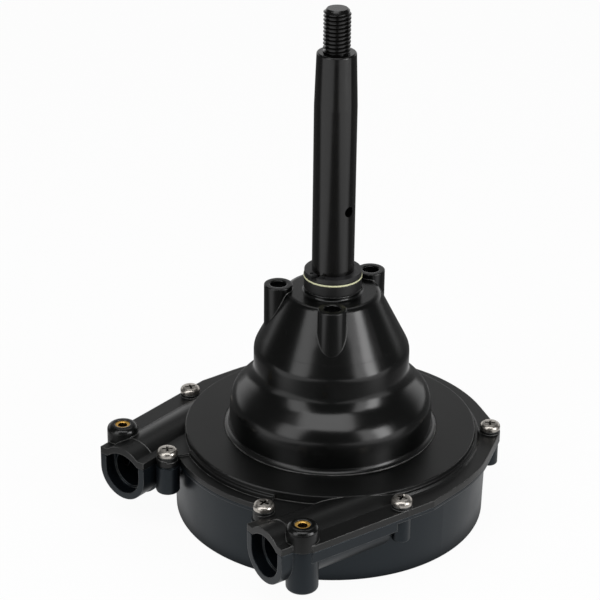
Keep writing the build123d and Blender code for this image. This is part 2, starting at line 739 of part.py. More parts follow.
def drum_outside():
    """Drum's outer form: wall, rim, port troughs, bolt bosses and screw columns."""
    drum = turned(
        (0, 0),
        (DRUM_R, 0, FOOT_FILLET),
        (DRUM_R + DRUM_DRAFT, SPLIT_Z),
        (0, SPLIT_Z),
    )
    drum += prism(flange_outline(), SPLIT_Z - RIM_T, SPLIT_Z)
    skirt_end = SIDE_SCREW_BACK - COLUMN_R - SKIRT_END_GAP
    half = prism(port_plate(skirt_end), SPLIT_Z - SKIRT_T, SPLIT_Z)
    half += into_port(trough(COLLAR_R), 0, COLLAR_L)
    half += into_port(trough(BLOCK_R), COLLAR_L, BLOCK_L)
    boss_low = SPLIT_Z - INSERT_BOSS_DROP
    half += rounded_post(INSERT_AT, INSERT_BOSS_R, boss_low, SPLIT_Z, 0, INSERT_FOOT_FILLET)
    columns = [(place, COLUMN_R) for place in SIDE_SCREWS_AT]
    columns.append((PORT_SCREW_AT, PORT_COLUMN_R))
    for place, radius in columns:
        half += rounded_post(place, radius, SPLIT_Z - COLUMN_DROP, SPLIT_Z, 0, COLUMN_FILLET)
    return drum + both_sides(half)


def rear_housing():
    """Drum moulded in one piece with its rim, the ports' lower halves and screw columns."""
    drum = drum_outside() - post((0, 0), CAVITY_R, FLOOR_T, SPLIT_Z + OVER)

    root_z = FLOOR_T - OVER
    drum += tube(POST_FOOT_R, POST_BORE_R, root_z, FLOOR_T + POST_FOOT_H)
    drum += tube(POST_R, POST_BORE_R, root_z, FLOOR_T + POST_H)
    drum += post((0, 0), POST_BORE_R + OVER, root_z, FLOOR_T + POST_FLOOR_T)
    first, last = GUIDE_RIB_ARC
    rib_step = (last - first) / (GUIDE_RIBS - 1)
    drum += spokes(
        GUIDE_RIBS, GUIDE_RIB_T, GUIDE_R, CAVITY_R + OVER, root_z, SPLIT_Z, first, rib_step
    )
    rib_top_z = FLOOR_T + FLOOR_RIB_H
    drum += spokes(
        FLOOR_RIBS, FLOOR_RIB_T, POST_FOOT_R - OVER, CAVITY_R + OVER, root_z, rib_top_z,
        180 / FLOOR_RIBS,
    )

    holes = port_hollow()
    for place in SCREWS_AT:
        tip_z = SCREW_SEAT_Z - SCREW_L - SCREW_TIP_GAP
        holes += post(place, SCREW_R, tip_z, SPLIT_Z + OVER)
    return drum - both_sides(holes)


def cover_screws():
    """Six pan-head screws that hold the cover on the drum."""
    screw = turned(
        (0, -SCREW_L),
        (SCREW_R - SCREW_TIP_CHAMFER, -SCREW_L),
        (SCREW_R, -SCREW_L + SCREW_TIP_CHAMFER),
        (SCREW_R, 0),
        (SCREW_HEAD_R, 0, EDGE_FILLET / 2),
        (SCREW_HEAD_R, SCREW_HEAD_H, SCREW_HEAD_FILLET),
        (0, SCREW_HEAD_H),
    )
    places = SCREWS_AT + [(-x, y) for x, y in SCREWS_AT]
    return Compound([Pos(x, y, SCREW_SEAT_Z) * screw for x, y in places])


def cable_inserts():
    """Brass threaded inserts for the two cable retaining bolts."""
    places = [INSERT_AT, (-INSERT_AT[0], INSERT_AT[1])]
    ring = Circle(INSERT_R) - Circle(INSERT_HOLE_R)
    return Compound([prism(Pos(*place) * ring, INSERT_Z, INSERT_Z + INSERT_L) for place in places])


def lower_bush():
    """Bush for the shaft's journal, pressed into the drum's post."""
    low = FLOOR_T + POST_FLOOR_T
    return tube(POST_BORE_R, JOURNAL_R + RUN_GAP, low, low + BUSH_H)


def wheel_bush():
    """Bush pressed into the wheel's hub, turning on the drum's post."""
    low = HUB_Z + WHEEL_BUSH_LIFT
    return tube(WHEEL_BUSH_R, POST_R + RUN_GAP, low, low + WHEEL_BUSH_H)


def wheel_thrust_washer():
    """Washer under the wheel's hub."""
    low = FLOOR_T + POST_FOOT_H
    return tube(POST_FOOT_R - FIT_GAP, POST_R + FIT_GAP, low, low + WHEEL_WASHER_T)


def groove_notches():
    """Notches between the teeth that the cable's outer wrap engages."""
    bottom_r = CABLE_PITCH_R - GROOVE_R
    notch = Pos(bottom_r, 0) * Rectangle(2 * GROOVE_TOOTH_DEPTH, GROOVE_TOOTH_W)
    low = CABLE_Z - GROOVE_TOOTH_L / 2
    cutter = prism(notch, low, low + GROOVE_TOOTH_L)
    return [Rot(0, 0, 360 * i / GROOVE_TEETH) * cutter for i in range(GROOVE_TEETH)]


def drive_wheel():
    """Cable wheel: hub, web, toothed concave rim and the seat for the planet pins."""
    rim_low = CABLE_Z - RIM_W / 2
    web_low = WEB_TOP_Z - WEB_T
    seat_low = SEAT_Z - SEAT_T
    wheel = turned(
        (WHEEL_BUSH_R, HUB_Z),
        (HUB_R, HUB_Z),
        (HUB_R, web_low, WEB_FILLET),
        (WHEEL_RIM_IN_R, web_low, WEB_FILLET),
        (WHEEL_RIM_IN_R, rim_low),
        (WHEEL_R, rim_low, RIM_FILLET),
        (WHEEL_R, rim_low + RIM_W, RIM_FILLET),
        (WHEEL_RIM_IN_R, rim_low + RIM_W),
        (WHEEL_RIM_IN_R, WEB_TOP_Z),
        (SEAT_R, WEB_TOP_Z, WEB_FILLET),
        (SEAT_R, SEAT_Z, EDGE_FILLET),
        (SUN_BORE_R, SEAT_Z),
        (SUN_BORE_R, seat_low),
        (WHEEL_BUSH_R, seat_low),
    )
    wheel -= tube(SEAT_R - SEAT_WALL, HUB_R, web_low - OVER, seat_low)
    cable_round = Pos(CABLE_PITCH_R, 0, CABLE_Z) * Rot(90, 0, 0) * Circle(GROOVE_R)
    wheel -= revolve(cable_round, Axis.Z)
    rib_low = rim_low + WHEEL_RIB_LIFT
    wheel += spokes(
        WHEEL_RIBS, WHEEL_RIB_T, HUB_R - OVER, WHEEL_RIM_IN_R + OVER, rib_low, web_low + OVER
    )
    hole_r = max((WHEEL_RIM_IN_R - SEAT_R) / 2 - WEB_HOLE_LAND, WEB_HOLE_LEAST_R)
    for i in range(WEB_HOLES):
        hole_at = polar((SEAT_R + WHEEL_RIM_IN_R) / 2, 360 * (i + 0.5) / WEB_HOLES)
        wheel -= post(hole_at, hole_r, web_low - OVER, WEB_TOP_Z + OVER)
    for angle in PLANET_ANGLES:
        wheel -= post(polar(PLANET_PCR, angle), PLANET_PIN_R, seat_low - OVER, SEAT_Z + OVER)
    return wheel - groove_notches()


def planet_gear(angle):
    """Planet gear at its place, with a tooth space facing the pinion."""
    half_tooth = 180 / PLANET_TEETH
    blank = external_gear(PLANET_TEETH) - Circle(PLANET_PIN_R + RUN_GAP)
    x, y = polar(PLANET_PCR, angle)
    turned_gear = Rot(0, 0, angle + 180 + half_tooth) * prism(blank, PLANET_Z, PLANET_TOP_Z)
    return Pos(x, y, 0) * turned_gear


def planet_pins():
    """Three pins pressed into the wheel, with a groove for each pin clip."""
    low = SEAT_Z - SEAT_T
    pin = turned(
        (0, low),
        (PLANET_PIN_R, low),
        (PLANET_PIN_R, PIN_CLIP_Z),
        (PIN_GROOVE_R, PIN_CLIP_Z),
        (PIN_GROOVE_R, PIN_CLIP_Z + PIN_CLIP_T),
        (PLANET_PIN_R, PIN_CLIP_Z + PIN_CLIP_T),
        (PLANET_PIN_R, PIN_TOP_Z, EDGE_FILLET),
        (0, PIN_TOP_Z),
    )
    return Compound([Pos(*polar(PLANET_PCR, angle), 0) * pin for angle in PLANET_ANGLES])


def planet_washers():
    """Thrust washers under and over each planet gear."""
    washer = Circle(PLANET_PIN_R + PLANET_WASHER_OUT) - Circle(PLANET_PIN_R)
    washers = []
    for angle in PLANET_ANGLES:
        for low in (SEAT_Z, PLANET_TOP_Z + END_FLOAT):
            washers.append(prism(Pos(*polar(PLANET_PCR, angle)) * washer, low, low + WASHER_T))
    return Compound(washers)


def carrier_plate():
    """Ring that ties the tops of the three planet pins together."""
    plate = Circle(CARRIER_R) - Circle(SHAFT_R + CARRIER_GAP)
    for angle in PLANET_ANGLES:
        plate -= Pos(*polar(PLANET_PCR, angle)) * Circle(PLANET_PIN_R)
    return prism(plate, CARRIER_Z, CARRIER_Z + CARRIER_T)


def pin_clips():
    """E-clips that hold the carrier plate on the pins."""
    clip_r = PLANET_PIN_R + PIN_CLIP_OUT
    slot = Pos(clip_r / 2, 0) * Rectangle(clip_r + OVER, PIN_CLIP_MOUTH)
    clip = Circle(clip_r) - Circle(PIN_GROOVE_R) - slot
    clips = []
    for angle in PLANET_ANGLES:
        placed = Pos(*polar(PLANET_PCR, angle)) * Rot(0, 0, angle) * clip
        clips.append(prism(placed, PIN_CLIP_Z, PIN_CLIP_Z + PIN_CLIP_T))
    return Compound(clips)


def ring_gear():
    """Fixed internal gear, keyed into the cover's bulge."""
    blank = Circle(BULGE_BORE_R - FIT_GAP)
    for place in ring_key_places():
        blank += Pos(*place) * Circle(RING_KEY_R - RUN_GAP)
    spaces = gear_outline(RING_TEETH, RING_PITCH_R - MODULE, RING_ROOT_R, -TOOTH_GAP)
    blank -= Rot(0, 0, 180 / RING_TEETH) * spaces
    return prism(blank, RING_SEAT_Z - RING_GEAR_H, RING_SEAT_Z)


def ring_gear_clip():
    """Inside circlip that keeps the ring gear up in the bulge."""
    clip = Circle(RING_GROOVE_R) - Circle(RING_GROOVE_R - RING_CLIP_DEPTH)
    clip -= sector(RING_GROOVE_R + OVER, -90, RING_CLIP_GAP_ANGLE)
    return prism(clip, RING_CLIP_Z, RING_CLIP_Z + RING_CLIP_T)


NODES = {
    "rear_housing": rear_housing,
    "front_cover": front_cover,
    "cover_screws": cover_screws,
    "cable_inserts": cable_inserts,
    "wheel_shaft": wheel_shaft,
    "shaft_circlip": shaft_circlip,
    "inner_circlip": inner_circlip,
    "thrust_washer": thrust_washer,
    "inner_washer": inner_washer,
    "nose_bearing": nose_bearing,
    "lower_bush": lower_bush,
    "wheel_bush": wheel_bush,
    "wheel_thrust_washer": wheel_thrust_washer,
    "drive_wheel": drive_wheel,
    "planet_pins": planet_pins,
    "planet_washers": planet_washers,
    "carrier_plate": carrier_plate,
    "pin_clips": pin_clips,
    "ring_gear": ring_gear,
    "ring_gear_clip": ring_gear_clip,
}

os.makedirs("parts", exist_ok=True)
for name, make in NODES.items():
    export_step(make(), f"parts/{name}.step")
for number, planet_angle in enumerate(PLANET_ANGLES, start=1):
    export_step(planet_gear(planet_angle), f"parts/planet_gear_{number}.step")
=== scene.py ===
import json
from math import acos, cos, pi, radians, sin, tan

import bmesh
import bpy
from mathutils import Matrix, Vector

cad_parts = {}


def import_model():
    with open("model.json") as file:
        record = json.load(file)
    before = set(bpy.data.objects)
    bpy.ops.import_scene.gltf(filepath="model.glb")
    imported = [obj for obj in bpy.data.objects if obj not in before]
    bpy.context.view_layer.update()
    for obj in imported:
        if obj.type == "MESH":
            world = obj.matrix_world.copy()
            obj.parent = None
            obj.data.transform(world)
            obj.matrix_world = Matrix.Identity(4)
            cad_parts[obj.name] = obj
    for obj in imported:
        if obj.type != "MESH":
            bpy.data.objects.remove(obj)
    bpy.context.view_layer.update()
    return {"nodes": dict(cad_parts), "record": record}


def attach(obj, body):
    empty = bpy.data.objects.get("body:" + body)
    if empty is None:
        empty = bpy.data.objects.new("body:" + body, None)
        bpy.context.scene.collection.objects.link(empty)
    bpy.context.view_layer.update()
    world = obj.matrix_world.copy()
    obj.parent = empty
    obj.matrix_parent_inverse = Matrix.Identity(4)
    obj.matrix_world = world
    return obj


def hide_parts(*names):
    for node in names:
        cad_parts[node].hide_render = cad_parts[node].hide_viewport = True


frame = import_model()
MM = 0.001

# The photograph's camera in the part's frame: right, up and forward directions, place, lens
CAM_RIGHT = Vector((0.6925918, 0.72126664, 0.00954178))
CAM_UP = Vector((-0.32057985, 0.29593107, 0.8998074))
CAM_FORWARD = Vector((-0.64617735, 0.62625813, -0.43618299))
CAM_AT = Vector((0.630348, -0.631303, 0.535865))
CAM_LENS = 131.49
CAM_CLIP = 0.05, 20.0
SENSOR = 36.0
TO_CAMERA = Vector((-CAM_FORWARD.x, -CAM_FORWARD.y, 0)).normalized()
TO_RIGHT = Vector((CAM_RIGHT.x, CAM_RIGHT.y, 0)).normalized()

# Sizes in millimetres. Turned outlines stop AXIS_R short of the axis
AXIS_R = 0.02
THREAD_R = 6.0
THREAD_PITCH = 1.75
THREAD_DEPTH = 1.05
THREAD_FROM = 222.0
THREAD_TO = 241.6
THREAD_CHAMFER = 1.5
SCREW_SEAT = 38.0
SCREW_HEAD_R = 4.7
SCREW_HEAD_H = 3.2
SCREW_HEAD_FOOT = 0.25
SCREW_CROWN = 0.35
SCREW_HEAD_ROUND = 1.6
SCREW_R = 2.4
SCREW_L = 16.0
SCREW_TIP_R, SCREW_TIP_H, SCREW_POINT_H = 1.5, 0.6, 2.2
RECESS_ARM, RECESS_HALF_W, RECESS_DEPTH = 2.55, 0.52, 2.0
RECESS_BOTTOM_SCALE, RECESS_TOP_SCALE, RECESS_OVER = 0.42, 1.08, 0.3
# Places of the screws, and how far each recess is turned
SCREWS = [
    (70.089, -24.958, 20), (51.496, 53.699, 40), (32.129, -72.093, 12),
    (-70.089, -24.958, 64), (-51.496, 53.699, 35), (-32.129, -72.093, 50),
]
INSERTS = [(59.754, -75.315), (-59.754, -75.315)]
INSERT_LOW, INSERT_TOP, INSERT_R, INSERT_HOLE_R = 34.0, 43.5, 3.5, 2.15
INSERT_RIBS, RIB_FROM, RIB_PITCH, RIB_H, RIB_OUT = 5, 0.4, 1.8, 1.1, 0.3
INSERT_PITCH, INSERT_THREAD_DEPTH, INSERT_MOUTH = 0.8, 0.32, 0.3
BOSS_PCR, BOSS_ANGLES = 24.5, (90, 225, 315)
BOSS_HOLE_R, BOSS_TOP, BOSS_MOUTH_R = 3.4, 110.8, 3.95
BOSS_PITCH, BOSS_THREAD_DEPTH, BOSS_THREAD_FROM, BOSS_THREAD_DOWN = 1.25, 0.22, 92.0, 1.6
# Pale washer, then the heights of the dark ring on it, which is painted shade
WASHER_R, PALE_Z, SHADE_RING_Z = (9.9, 13.25), (116.2, 116.93), (116.93, 117.3)
# Size and heights of the dark ring in the circlip's gap, which is painted shade
GAP_SHADE_R, GAP_SHADE_Z = (9.53, 12.85), (117.4, 117.8)
# Heights at which drum and cover meet, and at which the new cone surface meets the CAD's
SPLIT = 33.2
CONE_SEAM = 87.0
COLUMN_R, COLUMN_LOW, COLUMN_EDGE, COLUMN_TOP = 5.5, 19.3, 1.2, SPLIT - 0.3
# Corners of the cover's outline as (radius, height), and the fillets of the new surface
BULGE_FOOT, SHOULDER, WAIST = (46.9, 40.5), (46.4, 57.5), (35.6, 69.5)
CONE_FOOT, CONE_HEAD = (35.6, 81.3), (21.5, 109.0)
SOFT_WAIST = (35.6, 67.8)
FOOT_FILLET, SHOULDER_FILLET, WAIST_FILLET, CONE_FILLET = 2.6, 13.0, 11.0, 9.0
HALF_WALL = 1.4
# How far the new cover surface lies outside the CAD's at its top, and above the disc the cut is
SEAM_OUT, SEAM_UP = 0.01, 0.05


def wall_middle(z):
    """Radius halfway through the wall of the cover's bulge and cone at a height."""
    low, high = (SHOULDER, WAIST) if z < WAIST[1] else (CONE_FOOT, CONE_HEAD)
    share = max(0.0, (z - low[1]) / (high[1] - low[1]))
    return low[0] - HALF_WALL + share * (high[0] - low[0])


# ---- meshes ----

SMOOTH_ANGLE = 32
MERGE = 1e-6
FILLET_STEP = 7.5


def linked(name, data):
    """New object in the scene for a mesh, lamp or camera."""
    obj = bpy.data.objects.new(name, data)
    bpy.context.scene.collection.objects.link(obj)
    return obj


def new_mesh(name, verts, faces):
    mesh = bpy.data.meshes.new(name)
    mesh.from_pydata([(x * MM, y * MM, z * MM) for x, y, z in verts], [], faces)
    return mesh


def new_object(name, verts, faces):
    return finish_mesh(name, new_mesh(name, verts, faces))


def finish_mesh(name, mesh):
    """Object of a mesh with doubled points merged, smooth apart from its sharp edges."""
    bm = bmesh.new()
    bm.from_mesh(mesh)
    bmesh.ops.remove_doubles(bm, verts=bm.verts, dist=MERGE)
    bmesh.ops.dissolve_degenerate(bm, edges=bm.edges, dist=1e-7)
    bm.to_mesh(mesh)
    bm.free()
    mesh.shade_smooth()
    mesh.set_sharp_from_angle(angle=radians(SMOOTH_ANGLE))
    return linked(name, mesh)


def cut_copy(node_name, *levels):
    """Editable copy of a CAD node, cut at the given heights, with its shading normals kept."""
    mesh = frame["nodes"][node_name].data.copy()
    kept = mesh.attributes.new("kept_normal", "FLOAT_VECTOR", "CORNER")
    values = [0.0] * (3 * len(mesh.loops))
    mesh.corner_normals.foreach_get("vector", values)
    kept.data.foreach_set("vector", values)
    bm = bmesh.new()
    bm.from_mesh(mesh)
    for level in levels:
        bmesh.ops.bisect_plane(bm, geom=bm.verts[:] + bm.edges[:] + bm.faces[:], dist=1e-7,
                               plane_co=(0, 0, level * MM), plane_no=(0, 0, 1))
    return mesh, bm


def add_faces(bm, verts, faces, sharp_angle=30):
    """Add a surface to a cut copy, sharp where its faces meet at more than an angle."""
    made = [bm.verts.new((x * MM, y * MM, z * MM)) for x, y, z in verts]
    fresh = [bm.faces.new([made[v] for v in face]) for face in faces]
    bmesh.ops.remove_doubles(bm, verts=made, dist=MERGE)
    fresh = {f for f in fresh if f.is_valid}
    for edge in {e for f in fresh for e in f.edges}:
        if len(edge.link_faces) == 2 and edge.calc_face_angle(0) > radians(sharp_angle):
            edge.smooth = False


def finish_cut(name, mesh, bm):
    """Write a cut copy back, with the CAD's own shading normals where its faces were kept."""
    for face in bm.faces:
        face.smooth = True
    bm.to_mesh(mesh)
    bm.free()
    kept = mesh.attributes["kept_normal"]
    values = [0.0] * (3 * len(mesh.loops))
    kept.data.foreach_get("vector", values)
    mesh.attributes.remove(kept)
    mesh.normals_split_custom_set([values[i:i + 3] for i in range(0, len(values), 3)])
    return linked(name, mesh)


def filleted(corners):
    """Points of an open outline of (radius, height, fillet) corners, with arcs at its corners."""
    points = [Vector(corners[0][:2])]
    for before, corner, after in zip(corners, corners[1:], corners[2:]):
        middle, radius = Vector(corner[:2]), corner[2]
        back = (Vector(before[:2]) - middle).normalized()
        ahead = (Vector(after[:2]) - middle).normalized()
        opening = acos(max(-1.0, min(1.0, back.dot(ahead))))
        reach = radius / tan(opening / 2)
        start, end = middle + back * reach, middle + ahead * reach
        centre = middle + (back + ahead).normalized() * (radius / sin(opening / 2))
        count = max(2, int((180 - opening * 180 / pi) / FILLET_STEP))
        for i in range(count + 1):
            way = start.lerp(end, i / count) - centre
            points.append(centre + way.normalized() * radius)
    points.append(Vector(corners[-1][:2]))
    return [(point.x, point.y) for point in points]


def lathe(profile, at=(0, 0), segments=64, close=True):
    """Vertices and faces of a profile of (radius, height) turned about an upright axis."""
    verts, faces = [], []
    for r, z in profile:
        for i in range(segments):
            a = 2 * pi * i / segments
            verts.append((at[0] + r * cos(a), at[1] + r * sin(a), z))
    rows = len(profile)
    for j in range(rows if close else rows - 1):
        k = (j + 1) % rows
        for i in range(segments):
            n = (i + 1) % segments
            faces.append((j * segments + i, j * segments + n, k * segments + n, k * segments + i))
    return verts, faces


def helix(root_r, crest_r, pitch, low, high, segments, at=(0, 0), limit=None, inside=False):
    """Surface of a screw thread whose rows follow the helix, cut level at both ends."""
    section = ((0.0, root_r), (0.25, root_r), (0.5625, crest_r), (0.6875, crest_r))
    turns = int((high - low) / pitch) + 3
    rows = turns * len(section)
    verts, faces = [], []
    for i in range(segments + 1):
        a = 2 * pi * i / segments
        for j in range(rows):
            phase, r = section[j % len(section)]
            z = low + pitch * (j // len(section) - 1 + phase + i / segments)
            z = min(max(z, low), high)
            if limit:
                r = min(r, limit(z))
            verts.append((at[0] + r * cos(a), at[1] + r * sin(a), z))
    for i in range(segments):
        for j in range(rows - 1):
            p = i * rows + j
            face = (p, p + rows, p + rows + 1, p + 1)
            faces.append(face[::-1] if inside else face)
    return verts, faces


def joined(*parts):
    """Vertices and faces of several surfaces as one."""
    verts, faces = [], []
    for part_verts, part_faces in parts:
        start = len(verts)
        verts += part_verts
        faces += [tuple(start + v for v in face) for face in part_faces]
    return verts, faces


def rounded(r_in, r_out, z_low, z_high, radius):
    """Profile points of an outer top corner with a rounding, from the side up and inwards."""
    points, steps = [], 8
    for i in range(steps + 1):
        a = radians(90) * i / steps
        points.append((r_out - radius + radius * cos(a), z_high - radius + radius * sin(a)))
    return [(r_out, z_low)] + points + [(r_in, z_high)]


# ---- materials, with lengths in metres ----

EDGE_R = 0.0007
GRAIN_H, WAVE_H, PIT_H = 0.00004, 0.00010, 0.00003
# Colour of the painted shade that darkens the metal's recesses and thread roots
RECESS_SHADE_COLOUR = (0.012, 0.011, 0.010)
# Cosines of an edge's turn between lightened and whole, and distances from a seam without
# lightening. The lightened edges are partly wear and partly a painted highlight
EDGE_WEAR_AND_HIGHLIGHT_TURN = 0.80, 0.97
SEAM_CLEAR = 0.0007, 0.0012


def link(tree, source, target):
    tree.links.new(source, target)


def node(tree, kind, **values):
    """New node with the given settings, or the given values on its sockets."""
    made = tree.nodes.new(kind)
    for key, value in values.items():
        if hasattr(made, key):
            setattr(made, key, value)
        else:
            made.inputs[key.replace("_", " ")].default_value = value
    return made


def ramp(tree, source, points):
    """Colour ramp of (place, grey or colour) points on a socket."""
    made = tree.nodes.new("ShaderNodeValToRGB")
    link(tree, source, made.inputs["Fac"])
    elements = made.color_ramp.elements
    while len(elements) < len(points):
        elements.new(0.5)
    for element, (position, value) in zip(elements, points):
        colour = (value, value, value) if isinstance(value, (int, float)) else value
        element.position = position
        element.color = (*colour, 1)
    return made.outputs["Color"]


def noise(tree, coords, scale, detail):
    made = node(tree, "ShaderNodeTexNoise", Scale=scale, Detail=detail, Roughness=0.55)
    link(tree, coords, made.inputs["Vector"])
    return made.outputs["Fac"]


def bump(tree, height, strength, distance, below=None):
    made = node(tree, "ShaderNodeBump", Strength=strength, Distance=distance)
    link(tree, height, made.inputs["Height"])
    if below is not None:
        link(tree, below, made.inputs["Normal"])
    return made.outputs["Normal"]


def smooth(tree, source, low, high, first, last):
    """Value that goes smoothly from first to last while the source goes from low to high."""
    made = node(tree, "ShaderNodeMapRange", From_Min=low, From_Max=high, To_Min=first, To_Max=last)
    made.interpolation_type = "SMOOTHSTEP"
    link(tree, source, made.inputs["Value"])
    return made.outputs[0]


def along(tree, coords, direction):
    """Distance along a direction, which may be a vector or a socket."""
    made = node(tree, "ShaderNodeVectorMath", operation="DOT_PRODUCT")
    link(tree, coords, made.inputs[0])
    if isinstance(direction, bpy.types.NodeSocket):
        link(tree, direction, made.inputs[1])
    else:
        made.inputs[1].default_value = direction
    return made.outputs["Value"]


def combine(tree, operation, *values):
    """Result of a Math node on numbers or sockets."""
    made = node(tree, "ShaderNodeMath", operation=operation)
    for socket, value in zip(made.inputs, values):
        if isinstance(value, (int, float)):
            socket.default_value = value
        else:
            link(tree, value, socket)
    return made.outputs[0]


def tinted(tree, factor, colour, other):
    """Colour that turns into another one by a factor."""
    made = node(tree, "ShaderNodeMix", data_type="RGBA")
    link(tree, factor, made.inputs["Factor"])
    link(tree, colour, made.inputs[6])
    made.inputs[7].default_value = (*other, 1)
    return made.outputs[2]


def start_material(name, metallic=0.0, ior=1.5, tint=(1, 1, 1)):
    mat = bpy.data.materials.new(name)
    mat.use_nodes = True
    tree = mat.node_tree
    shader = tree.nodes["Principled BSDF"]
    shader.inputs["Metallic"].default_value = metallic
    shader.inputs["IOR"].default_value = ior
    shader.inputs["Specular Tint"].default_value = (*tint, 1)
    coords = tree.nodes.new("ShaderNodeTexCoord").outputs["Object"]
    return mat, tree, shader, coords


def moulded_plastic(name, dark, light, rough, grain=1.0, ior=1.5, tint=(1, 1, 1), edge=0.0,
                    by_height=None):
    """Moulded plastic: mottled, fine grain, faint flow waves, uneven gloss, and edges lightened
    partly by scuffs and partly as a painted highlight.
    """
    mat, tree, shader, coords = start_material(name, ior=ior, tint=tint)
    cloud = noise(tree, coords, 28, 4)
    colour = ramp(tree, cloud, [(0.3, dark), (0.7, light)])
    softened = node(tree, "ShaderNodeBevel", Radius=EDGE_R)
    softened.samples = 8
    # Lightened edges: partly scuffs and flash, partly a painted highlight of the light catching
    # them
    if edge:
        plain = tree.nodes.new("ShaderNodeNewGeometry").outputs["Normal"]
        turn = along(tree, softened.outputs[0], plain)
        near_edge = smooth(tree, turn, *EDGE_WEAR_AND_HIGHLIGHT_TURN, 1.0, 0.0)
        wear_and_highlight = smooth(tree, noise(tree, coords, 170, 3), 0.36, 0.62, 0.25, 1.0)
        for height in (SPLIT, CONE_SEAM):
            above = combine(tree, "SUBTRACT", along(tree, coords, (0, 0, 1)), height * MM)
            away = combine(tree, "ABSOLUTE", above)
            wear_and_highlight = combine(tree, "MULTIPLY", wear_and_highlight, smooth(tree, away, *SEAM_CLEAR, 0.0, 1.0))
        edge_wear_and_highlight = combine(tree, "MULTIPLY", near_edge, wear_and_highlight)
        colour = tinted(tree, edge_wear_and_highlight, colour, (edge, edge, edge * 0.98))
    link(tree, colour, shader.inputs["Base Color"])
    fine = noise(tree, coords, 2600, 2)
    wave = noise(tree, coords, 95, 2)
    gloss = ramp(tree, noise(tree, coords, 60, 5), [(0.25, rough[0]), (0.75, rough[1])])
    if by_height:
        low_z, high_z, low_rough, high_rough = by_height
        extra = node(tree, "ShaderNodeMapRange", From_Min=low_z, From_Max=high_z,
                     To_Min=low_rough, To_Max=high_rough)
        link(tree, along(tree, coords, (0, 0, 1)), extra.inputs["Value"])
        gloss = combine(tree, "ADD", gloss, extra.outputs[0])
    link(tree, gloss, shader.inputs["Roughness"])
    normal = bump(tree, fine, 0.12 * grain, GRAIN_H, softened.outputs[0])
    normal = bump(tree, wave, 0.06, WAVE_H, normal)
    link(tree, normal, shader.inputs["Normal"])
    return mat


def metal(name, dark, light, rough, scale=260, lines=None, metallic=1.0, pitting=0.15,
          recess_shade=None):
    """Metal with uneven colour and gloss, turning lines along the height and painted shade in its
    recesses.
    """
    mat, tree, shader, coords = start_material(name, metallic=metallic)
    cloud = noise(tree, coords, scale, 4)
    colour = ramp(tree, cloud, [(0.3, dark), (0.7, light)])
    # Painted shade: darker where ambient occlusion finds the surface hemmed in, in recesses and
    # thread roots
    if recess_shade:
        hollow = node(tree, "ShaderNodeAmbientOcclusion", Distance=recess_shade)
        hollow.samples = 8
        shade_share = smooth(tree, hollow.outputs["AO"], 0.45, 0.85, 1.0, 0.0)
        colour = tinted(tree, shade_share, colour, RECESS_SHADE_COLOUR)
    link(tree, colour, shader.inputs["Base Color"])
    gloss = ramp(tree, noise(tree, coords, scale * 3, 3), [(0.25, rough[0]), (0.75, rough[1])])
    link(tree, gloss, shader.inputs["Roughness"])
    normal = bump(tree, noise(tree, coords, 1800, 2), pitting, PIT_H)
    if lines:
        stretch = node(tree, "ShaderNodeMapping")
        stretch.inputs["Scale"].default_value = (lines[0], lines[0], lines[1])
        link(tree, coords, stretch.inputs["Vector"])
        turning = noise(tree, stretch.outputs[0], 1.0, 3)
        normal = bump(tree, turning, lines[2], PIT_H, normal)
    link(tree, normal, shader.inputs["Normal"])
    return mat


MATERIALS = {
    "cover_plastic": moulded_plastic(
        "cover_plastic", (0.0012, 0.0014, 0.0013), (0.0024, 0.0027, 0.0025), (0.18, 0.24),
        grain=0.8, edge=0.12, by_height=(0.0395, 0.0425, 0.17, 0.0)),
    "drum_plastic": moulded_plastic(
        "drum_plastic", (0.0018, 0.0026, 0.0036), (0.003, 0.0042, 0.0056), (0.30, 0.40),
        grain=1.6, ior=1.47, tint=(0.78, 0.90, 1.0), edge=0.08),
    "stainless": metal(
        "stainless", (0.50, 0.47, 0.43), (0.66, 0.62, 0.57), (0.24, 0.36),
        scale=500, pitting=0.2, recess_shade=0.0016),
    "brass": metal(
        "brass", (0.80, 0.44, 0.08), (0.95, 0.60, 0.16), (0.34, 0.48), lines=(30, 3000, 0.3),
        metallic=0.8),
    "shaft_black": metal(
        "shaft_black", (0.0018, 0.0017, 0.0016), (0.0034, 0.0032, 0.003), (0.17, 0.24),
        scale=45, lines=(15, 2600, 0.3), metallic=0.0, pitting=0.08),
    "spring_steel": metal(
        "spring_steel", (0.015, 0.015, 0.016), (0.035, 0.035, 0.036), (0.35, 0.5), metallic=0.3),
    "pale_washer": moulded_plastic(
        "pale_washer", (0.56, 0.56, 0.34), (0.70, 0.70, 0.46), (0.42, 0.52)),
    "bearing_black": moulded_plastic(
        "bearing_black", (0.005, 0.005, 0.005), (0.008, 0.008, 0.008), (0.44, 0.54)),
    "wheel_alloy": metal(
        "wheel_alloy", (0.46, 0.47, 0.48), (0.64, 0.65, 0.66), (0.36, 0.52), scale=90, pitting=0.7),
    "gear_steel": metal(
        "gear_steel", (0.36, 0.36, 0.37), (0.52, 0.52, 0.52), (0.24, 0.40), scale=120,
        lines=(20, 2200, 0.25)),
}

NODE_SLOTS = {part["node"]: part["material_slot"] for part in frame["record"]["subparts"]}
for name, obj in frame["nodes"].items():
    obj.data.materials.clear()
    obj.data.materials.append(MATERIALS[NODE_SLOTS[name]])


def place(obj, slot, *replaced, body="housing"):
    """Give a new piece its material, body and the CAD nodes that it stands for."""
    obj.data.materials.clear()
    obj.data.materials.append(MATERIALS[slot])
    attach(obj, body)
    if replaced:
        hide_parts(*replaced)
    return obj


# ---- shaft with its cut thread ----

